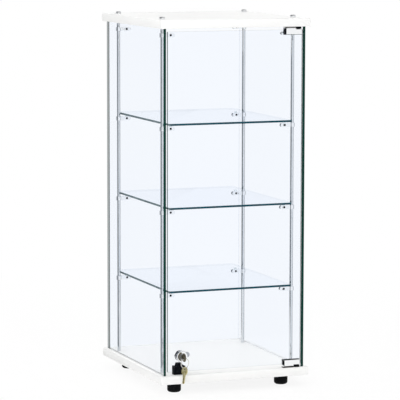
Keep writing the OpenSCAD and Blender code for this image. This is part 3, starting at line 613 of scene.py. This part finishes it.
def chamfered_clamp(node):
    """A clamp's merged copy, its front plate chamfered all round and most at its free end."""
    piece = merged(node)
    low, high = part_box(node)
    bpy.ops.object.mode_set(mode="EDIT")
    pick("EDGE", lambda middle, normal: abs(middle.y - low.y) < HAIR)
    bpy.ops.mesh.bevel(offset=CLAMP_CHAMFER * MM, segments=1, affect="EDGES")
    wider = (CLAMP_END_CHAMFER - CLAMP_CHAMFER) * MM
    left = low.x + CLAMP_CHAMFER * MM
    behind = low.y + CLAMP_CHAMFER * MM
    pick("VERT", lambda place, normal:
         abs(place.x - left) < HAIR and abs(place.y - low.y) < HAIR)
    bpy.ops.transform.translate(value=(wider, 0, 0))
    pick("VERT", lambda place, normal:
         abs(place.x - low.x) < HAIR and abs(place.y - behind) < HAIR)
    bpy.ops.transform.translate(value=(0, wider, 0))
    bpy.ops.object.mode_set(mode="OBJECT")
    rounded(piece, CLAMP_ARRIS, angle=50)
    return piece


nylon = moulded_nylon("moulded_black_nylon", "#030409", "#080A12")
for end in ("lower", "upper"):
    settle(softened(end + "_bush", BUSH_ARRIS), end + "_nylon_bush", nylon, "cabinet",
           "black_nylon", end + "_bush")
    settle(chamfered_clamp(end + "_hinge_clamp"), end + "_chrome_clamp", plate, "door",
           "chrome_fitting", end + "_hinge_clamp")
# Painted shade: the plates' dark brown-black stands for the shade in the gap under each clamp.
gap_shade_metal = plated_metal("painted_gap_shade_metal", "#3A3428", "#26221B", 0.4, 150.0)
for end, (low_z, high_z) in GAP_SHADE_STRIPS.items():
    plate_middle = at(sum(PLATE_X) / 2, sum(PLATE_Y) / 2, (low_z + high_z) / 2)
    plate_size = Vector((PLATE_X[1] - PLATE_X[0], PLATE_Y[1] - PLATE_Y[0], high_z - low_z)) * MM
    strip = begun(
        bpy.ops.mesh.primitive_cube_add, plate_size, size=1, location=plate_middle)
    bpy.ops.object.mode_set(mode="EDIT")
    pick("EDGE", lambda middle, normal: abs(middle.z - plate_middle.z) < HAIR)
    bpy.ops.mesh.bevel(offset=PLATE_CORNER * MM, segments=4, affect="EDGES")
    bpy.ops.object.mode_set(mode="OBJECT")
    rounded(strip, PLATE_ARRIS)
    settle(strip, end + "_painted_gap_shade", gap_shade_metal, "cabinet", "black_steel")
give(moulded_nylon("soft_grey_liner", "#1C1D1F", "#2B2D2F"),
     "lower_hinge_liner", "upper_hinge_liner")

# Door. One pane of 5 mm float glass, polished all round, drilled for the lock's barrel and
# held only by its two clamps. Its left edge shows grey-green against the cabinet.
give(float_glass("float_glass_door", "Y", "#26403C", "#45625D", "#2C4440", 0.8, 0.15),
     "door_glass")

# Keeper. A black nylon block on the base board with a slot between two walls, where the
# lock's cam drops in. Two screws in sunk holes hold it down.
KEEPER_ARRIS = 0.8
settle(softened("keeper_block", KEEPER_ARRIS), "nylon_keeper", nylon, "cabinet", "black_nylon",
       "keeper_block")
give(black_steel, "keeper_screws")

# Lock. A chromed wafer lock clamped in the door's hole by a nut behind, between a rubber and
# a nylon washer. Its plug turns in a dished face, with a zinc-plated cam on its square end.
LOCK_PLACE = (43.5, 47)
LOCK_NUT_ARRIS, CAM_ARRIS, CASE_ARRIS = 0.4, 0.35, 0.15
CASE_D, CASE_FRONT, CASE_BACK, CASE_EDGE, BARREL_D, BARREL_END = 28, -10, -1, 1.5, 18, 12.5
DISH_D, DISH_DEPTH, SEAT_D, SEAT_DEPTH, BORE_D = 21.1, 0.5, 16.12, 1.56, 12.12
wafer_brass = plated_metal("stamped_wafer_brass", "#C2A25A", "#8E7238", 0.3, 300.0)
give(wafer_brass, "lock_wafers")
give(nylon, "lock_washer")
lock_x, lock_z = LOCK_PLACE
case = begun(
    bpy.ops.mesh.primitive_cylinder_add, vertices=96, radius=CASE_D / 2 * MM,
    depth=(CASE_BACK - CASE_FRONT) * MM, rotation=(math.pi / 2, 0, 0),
    location=at(lock_x, (CASE_FRONT + CASE_BACK) / 2, lock_z))
case_axis = at(lock_x, CASE_FRONT, lock_z)
bpy.ops.object.mode_set(mode="EDIT")
pick("EDGE", lambda middle, normal: abs(middle.y - case_axis.y) < HAIR)
bpy.ops.mesh.bevel(offset=CASE_EDGE * MM, segments=5, affect="EDGES")
pick("FACE", lambda middle, normal: normal.y < -0.99)
bpy.ops.mesh.inset(thickness=(CASE_D / 2 - CASE_EDGE - DISH_D / 2) * MM)
bpy.ops.mesh.inset(thickness=(DISH_D - SEAT_D) / 2 * MM, depth=-DISH_DEPTH * MM)
extruded(0, SEAT_DEPTH, 0)
bpy.ops.mesh.inset(thickness=(SEAT_D - BORE_D) / 2 * MM)
pick("FACE", lambda middle, normal: normal.y > 0.99)
bpy.ops.mesh.inset(thickness=(CASE_D - BARREL_D) / 2 * MM)
extruded(0, BARREL_END - CASE_BACK, 0)
bpy.ops.mesh.inset(thickness=(BARREL_D - BORE_D) / 2 * MM)
pick("FACE", lambda middle, normal: abs(normal.y) > 0.99
     and (middle - case_axis).xz.length < ACROSS_AXIS * MM)
bpy.ops.mesh.bridge_edge_loops()
bpy.ops.object.mode_set(mode="OBJECT")
rounded(case, CASE_ARRIS, angle=50)
settle(case, "chromed_lock_case", plate, "door", "chrome_fitting", "lock_housing")
give(plated_metal("brushed_plug_face", "#B4B6B8", "#8C8E91", 0.3, 200.0), "lock_plug")
settle(softened("lock_nut", LOCK_NUT_ARRIS), "plated_lock_nut", zinc, "door", "zinc_steel",
       "lock_nut")
settle(softened("lock_cam", CAM_ARRIS), "plated_lock_cam", zinc, "lock_core", "zinc_steel",
       "lock_cam")
give(zinc, "cam_screw")

# Keys. Each is stamped from 2 mm strip, with a raised rim round the bow, a groove along both
# sides of the blade, and notches for the wafers. One is nickel plated, the spare plain brass.
KEY_T, KEY_RIM, KEY_SINK, KEY_ARRIS = 2, 1.7, 0.3, 0.18
BOW_D, BOW_AT, HOLE_D, HOLE_AT = 20.5, 13.25, 5, 18.5
BLADE_H, BLADE_LEN, BLADE_TIP, SHOULDER, SHOULDER_STEP = 7, 18, 2.5, 3.5, 0.6
# How far the shank runs into the bow, and over what length it steps down to the blade.
BOW_OVERLAP, BLADE_START = 1, 0.01
GROOVE_SPAN, GROOVE_W, GROOVE_SINK = (-2, 15), 2.6, 0.35
# Each notch's middle along the blade and its depth, and where its flanks start and end.
NOTCHES = ((4.125, 0.7), (7.375, 1.05), (10.625, 0.7), (13.875, 1.05))
NOTCH_TOP, NOTCH_FLOOR = 1.15, 0.35
KEY_FRONT = -9.65
RING_R, RING_WIRE, RING_TWIST, RING_DROP, SPARE_LEAN = 12, 1.8, 20, 1.4, 8


def worn_plate(name, dull, bright, spot, roughness):
    """Handled key metal: rubbed brighter in patches, with small spots, dark ones of tarnish and
    pale ones painted glints.
    """
    material, tree = new_material(name)
    place = add(tree, "TexCoord").outputs["Object"]
    # The rubbed patches are about 8 mm wide.
    rubbed = add(tree, "TexNoise", {"Vector": place, "Scale": 120.0, "Detail": 3.0})
    tone = add(tree, "ValToRGB", {"Fac": rubbed.outputs["Fac"]})
    tone.color_ramp.elements[0].position = 0.35
    tone.color_ramp.elements[0].color = linear(dull)
    tone.color_ramp.elements[1].position = 0.65
    tone.color_ramp.elements[1].color = linear(bright)
    # The spots are under 1 mm across and are drawn at 2 mm. Dark spots are tarnish, pale ones
    # are painted glints.
    tarnish_and_glint_cells = add(tree, "TexVoronoi", {"Vector": place, "Scale": 500.0})
    tarnish_and_glint_share = add(tree, "MapRange", {
        "Value": tarnish_and_glint_cells.outputs["Distance"], "From Min": 0.25, "From Max": 0.4,
        "To Min": 0.5, "To Max": 0.0})
    colour = add(tree, "Mix", {
        "Factor": tarnish_and_glint_share.outputs["Result"], "A": tone.outputs["Color"], "B": linear(spot)},
        data_type="RGBA")
    haze = add(tree, "MapRange", {
        "Value": rubbed.outputs["Fac"], "To Min": roughness * 1.4, "To Max": roughness})
    shader = add(tree, "BsdfPrincipled", {
        "Base Color": colour.outputs["Result"], "Metallic": 1.0,
        "Roughness": haze.outputs["Result"]})
    add(tree, "OutputMaterial", {"Surface": shader.outputs["BSDF"]})
    return material


def use_boolean(piece, tool, operation):
    """Applies a boolean with the tool, which is then removed."""
    bpy.context.view_layer.objects.active = piece
    cutter = piece.modifiers.new("cutter", "BOOLEAN")
    cutter.operation = operation
    cutter.object = tool
    cutter.solver = "EXACT"
    bpy.ops.object.modifier_apply(modifier="cutter")
    bpy.data.objects.remove(tool)


blank = begun(
    bpy.ops.mesh.primitive_cylinder_add, vertices=64, radius=BOW_D / 2 * MM,
    depth=KEY_T * MM, location=(0, -BOW_AT * MM, 0), rotation=(0, math.pi / 2, 0))
bpy.ops.object.mode_set(mode="EDIT")
pick("FACE", lambda middle, normal: abs(normal.x) > 0.9)
bpy.ops.mesh.inset(thickness=KEY_RIM * MM)
bpy.ops.mesh.inset(thickness=KEY_SINK * MM, depth=-KEY_SINK * MM)
bpy.ops.mesh.select_all(action="SELECT")
bpy.ops.mesh.normals_make_consistent(inside=False)
bpy.ops.object.mode_set(mode="OBJECT")

shank, shank_h = SHOULDER + BOW_OVERLAP, BLADE_H + 2 * SHOULDER_STEP
blade = begun(
    bpy.ops.mesh.primitive_cube_add, (KEY_T * MM, shank * MM, shank_h * MM), size=1,
    location=(0, -shank / 2 * MM, 0))
bpy.ops.object.mode_set(mode="EDIT")
pick("FACE", lambda middle, normal: normal.y > 0.9)
extruded(0, BLADE_START, 0)
bpy.ops.transform.resize(value=(1, 1, BLADE_H / shank_h))
bits = [(middle + step, cut if abs(step) == NOTCH_FLOOR else 0) for middle, cut in NOTCHES
        for step in (-NOTCH_TOP, -NOTCH_FLOOR, NOTCH_FLOOR, NOTCH_TOP)]
reached, sunk = BLADE_START, 0
for along, cut in bits + [(BLADE_LEN - BLADE_TIP, 0), (BLADE_LEN, BLADE_TIP)]:
    extruded(0, along - reached, 0)
    pick("VERT", lambda place, normal: place.y > along * MM - HAIR and place.z > 0)
    bpy.ops.transform.translate(value=(0, 0, (sunk - cut) * MM))
    if along == BLADE_LEN:
        pick("VERT", lambda place, normal: place.y > along * MM - HAIR and place.z < 0)
        bpy.ops.transform.translate(value=(0, 0, cut * MM))
    pick("FACE", lambda middle, normal: middle.y > along * MM - HAIR)
    reached, sunk = along, cut
bpy.ops.mesh.select_all(action="SELECT")
bpy.ops.mesh.normals_make_consistent(inside=False)
bpy.ops.object.mode_set(mode="OBJECT")
use_boolean(blank, blade, "UNION")
groove_size = Vector((2 * GROOVE_SINK, GROOVE_SPAN[1] - GROOVE_SPAN[0], GROOVE_W)) * MM
for side in (-1, 1):
    use_boolean(blank, begun(
        bpy.ops.mesh.primitive_cube_add, groove_size, size=1,
        location=(side * KEY_T / 2 * MM, sum(GROOVE_SPAN) / 2 * MM, 0)), "DIFFERENCE")
use_boolean(blank, begun(
    bpy.ops.mesh.primitive_cylinder_add, vertices=32, radius=HOLE_D / 2 * MM,
    depth=3 * KEY_T * MM, location=(0, -HOLE_AT * MM, 0), rotation=(0, math.pi / 2, 0)),
    "DIFFERENCE")
bpy.ops.object.select_all(action="DESELECT")
blank.select_set(True)
rounded(blank, KEY_ARRIS, angle=30)

ring_place = at(lock_x, KEY_FRONT - HOLE_AT, lock_z - RING_DROP - RING_R)
ring_turn = Matrix.Rotation(math.radians(RING_TWIST), 4, "Z")
in_lock = Matrix.Translation(at(lock_x, KEY_FRONT, lock_z))
hanging = (
    Matrix.Translation(ring_place - Vector((0, 0, RING_R * MM))) @ ring_turn
    @ Matrix.Rotation(math.radians(SPARE_LEAN), 4, "Y")
    @ Matrix.Translation((0, 0, -RING_DROP * MM))
    @ Matrix.Rotation(-math.pi / 2, 4, "X") @ Matrix.Translation((0, HOLE_AT * MM, 0)))
# The key in the lock is given a dark olive tone: painted shade over its rubbed nickel, with small
# dark spots of tarnish.
settle(copied(blank, in_lock), "nickel_key_in_lock",
       worn_plate("rubbed_nickel_with_painted_shade", "#4E4730", "#7A7152", "#2E291B", 0.28),
       "key_in_lock", "nickel_key", "key")
# The spare key's pale spots are painted glints on its brass.
settle(copied(blank, hanging), "brass_spare_key",
       worn_plate("brass_key_with_painted_glints", "#BBAC70", "#EBE2B4", "#FBF7E4", 0.38),
       "hanging_key", "brass_key", "spare_key")
bpy.data.objects.remove(blank)

# Key ring. Two turns of nickel-plated spring wire lying side by side, so its section is
# waisted to six tenths, and a line runs round it where the turns meet.
RING_WAIST = 0.6
ring = begun(
    bpy.ops.mesh.primitive_torus_add, major_radius=RING_R * MM,
    minor_radius=RING_WIRE / 2 * MM, major_segments=96, minor_segments=20)
bpy.ops.object.mode_set(mode="EDIT")
for where in (RING_R + RING_WIRE / 2, RING_R - RING_WIRE / 2):
    pick("VERT", lambda place, normal:
         abs(place.length - where * MM) < HAIR and abs(place.z) < HAIR)
    inward = (RING_R + (where - RING_R) * RING_WAIST) / where
    bpy.ops.transform.resize(value=(inward, inward, 1), center_override=(0, 0, 0))
bpy.ops.object.mode_set(mode="OBJECT")
bpy.ops.object.shade_smooth_by_angle(angle=math.radians(50))
ring.data.transform(
    Matrix.Translation(ring_place) @ ring_turn @ Matrix.Rotation(math.pi / 2, 4, "X"))
wire = plated_metal("nickel_plated_wire", "#F0EEEA", "#D8D5CE", 0.14, 200.0)
settle(ring, "split_key_ring", wire, "ring", "steel_ring", "key_ring")

# Studio. A white floor and a white room with soft light from above and from all sides. Dark
# flags behind the cabinet and to the camera's left give the chrome its outlines.
VIEW_TURN = math.radians(21.37)
# In metres from the middle: the floor's width, how far chrome mirrors the floor, and where
# the shadow starts to fade and has gone. The veil is how much plain white covers it.
FLOOR_WIDTH, PAPER_REACH, FADE_FROM, FADE_TO, SHADOW_VEIL = 60, 0.26, 0.6, 1.8, 0.9
bpy.ops.object.select_all(action="DESELECT")
bpy.ops.mesh.primitive_plane_add(size=FLOOR_WIDTH, location=(0, 0, 0))
floor = bpy.context.object
floor.name = "studio_floor"
material, tree = new_material("white_studio_floor")
path = add(tree, "LightPath")
lit = add(tree, "BsdfDiffuse", {"Color": linear("#F9F9F9")})
paper = add(tree, "Emission", {"Color": linear("#FFFFFF"), "Strength": 1.0})
seen = add(tree, "Math", {
    0: path.outputs["Is Camera Ray"], 1: path.outputs["Is Glossy Ray"]}, operation="MAXIMUM")
# The floor takes the cabinet's soft shadow close by, and runs out into plain white.
spot = add(tree, "TexCoord").outputs["Object"]
away = add(tree, "VectorMath", {0: spot}, operation="LENGTH")
plain = add(tree, "MapRange", {
    "Value": away.outputs["Value"], "From Min": FADE_FROM, "From Max": FADE_TO,
    "To Min": SHADOW_VEIL, "To Max": 1.0})
share = add(tree, "Math", {0: seen.outputs[0], 1: plain.outputs["Result"]}, operation="MULTIPLY")
mixed = add(tree, "MixShader", {0: share.outputs[0], 1: lit.outputs[0], 2: paper.outputs[0]})
# Chrome mirrors the white floor close by, and past it the flags, which stand on the floor.
beyond = add(tree, "Math", {0: away.outputs["Value"], 1: PAPER_REACH}, operation="GREATER_THAN")
past = add(tree, "Math", {
    0: beyond.outputs[0], 1: path.outputs["Is Glossy Ray"]}, operation="MULTIPLY")
opened = add(tree, "BsdfTransparent", {"Color": linear("#FFFFFF")})
ground = add(tree, "MixShader", {0: past.outputs[0], 1: mixed.outputs[0], 2: opened.outputs[0]})
add(tree, "OutputMaterial", {"Surface": ground.outputs[0]})
floor.data.materials.append(material)

# What chrome mirrors: each tone's place on the way round, from 0 behind the cabinet over the
# left side and 0.5 at the camera to 1, and the height from which a dark ceiling shows. AIR is
# the level of the white light from all round.
FLAGS = (
    (0.001, "#FFFFFF"), (0.03, "#FFFFFF"), (0.045, "#4A4E53"), (0.18, "#4A4E53"),
    (0.21, "#E0E3E6"), (0.28, "#E0E3E6"), (0.31, "#14161A"), (0.40, "#14161A"),
    (0.43, "#FFFFFF"), (0.77, "#FFFFFF"), (0.81, "#7C8186"), (0.955, "#7C8186"),
    (0.97, "#FFFFFF"), (0.999, "#FFFFFF"),
)
CEILING_FROM, CEILING_FULL, CEILING, AIR = 0.70, 0.80, "#1A1C20", 0.53
world = bpy.data.worlds.new("white_studio")
bpy.context.scene.world = world
world.use_nodes = True
tree = world.node_tree
tree.nodes.clear()
aim = add(tree, "TexCoord").outputs["Generated"]
to_right = (math.cos(VIEW_TURN), -math.sin(VIEW_TURN), 0)
to_front = (-math.sin(VIEW_TURN), -math.cos(VIEW_TURN), 0)
across = add(tree, "VectorMath", {0: aim, 1: to_right}, operation="DOT_PRODUCT")
toward = add(tree, "VectorMath", {0: aim, 1: to_front}, operation="DOT_PRODUCT")
turn = add(tree, "Math", {
    0: across.outputs["Value"], 1: toward.outputs["Value"]}, operation="ARCTAN2")
way = add(tree, "MapRange", {"Value": turn.outputs[0], "From Min": -math.pi, "From Max": math.pi})
flags = add(tree, "ValToRGB", {"Fac": way.outputs["Result"]})
for position, code in FLAGS:
    flags.color_ramp.elements.new(position).color = linear(code)
height = add(tree, "SeparateXYZ", {"Vector": aim})
overhead = add(tree, "MapRange", {
    "Value": height.outputs["Z"], "From Min": CEILING_FROM, "From Max": CEILING_FULL})
mirrored_room = add(tree, "Mix", {
    "Factor": overhead.outputs["Result"], "A": flags.outputs["Color"], "B": linear(CEILING)},
    data_type="RGBA")
path = add(tree, "LightPath")
room = add(tree, "Background", {"Color": mirrored_room.outputs["Result"], "Strength": 1.0})
air = add(tree, "Background", {"Color": linear("#FFFFFF"), "Strength": AIR})
backdrop = add(tree, "Background", {"Color": linear("#FFFFFF"), "Strength": 1.0})
mirrored = add(tree, "MixShader", {
    0: path.outputs["Is Glossy Ray"], 1: air.outputs[0], 2: room.outputs[0]})
shown = add(tree, "MixShader", {
    0: path.outputs["Is Camera Ray"], 1: mirrored.outputs[0], 2: backdrop.outputs[0]})
add(tree, "OutputWorld", {"Surface": shown.outputs[0]})

# Each lamp's place, width in metres and watts. All point at the cabinet's middle.
LAMPS = (
    ("front_lamp", (-0.6, -2.2, 2.7), 2.0, 23.0),
    ("left_lamp", (-2.6, 0.0, 2.3), 2.0, 25.0),
    ("right_lamp", (2.6, 0.0, 2.3), 2.0, 22.0),
    ("back_lamp", (0.0, 2.6, 2.3), 2.0, 22.0),
    ("low_lamp", (-1.9, -3.4, 0.7), 2.4, 30.0),
)
LAMP_AIM = Vector((0, 0, 0.45))
for name, place, size, power in LAMPS:
    lamp = bpy.data.lights.new(name, "AREA")
    lamp.size = size
    lamp.energy = power
    made = bpy.data.objects.new(name, lamp)
    bpy.context.scene.collection.objects.link(made)
    made.location = place
    made.rotation_mode = "QUATERNION"
    made.rotation_quaternion = (LAMP_AIM - Vector(place)).to_track_quat("-Z", "Y")
    made.visible_glossy = False

# Camera. It stands where the photograph was taken from: six metres off, a little to the
# left and above the cabinet's top, with a long lens.
CAMERA_PLACE = (-2.2334, -5.6680, 1.1866)
CAMERA_DROP = math.radians(6.903)
CAMERA_ROLL = math.radians(0.106)
CAMERA_LENS, CAMERA_SENSOR = 220.43, 36
eye = bpy.data.cameras.new("product_camera")
eye.lens = CAMERA_LENS
eye.sensor_width = CAMERA_SENSOR
camera = bpy.data.objects.new("product_camera", eye)
bpy.context.scene.collection.objects.link(camera)
ahead = Vector((
    math.sin(VIEW_TURN) * math.cos(CAMERA_DROP),
    math.cos(VIEW_TURN) * math.cos(CAMERA_DROP),
    -math.sin(CAMERA_DROP)))
camera.location = CAMERA_PLACE
camera.rotation_mode = "QUATERNION"
camera.rotation_quaternion = ahead.to_track_quat("-Z", "Y") @ Quaternion((0, 0, 1), CAMERA_ROLL)
bpy.context.scene.camera = camera

bpy.context.scene.view_settings.view_transform = "Standard"
# From above, the eye looks through two panes and three shelves, which is ten surfaces.
bpy.context.scene.cycles.transparent_max_bounces = 24
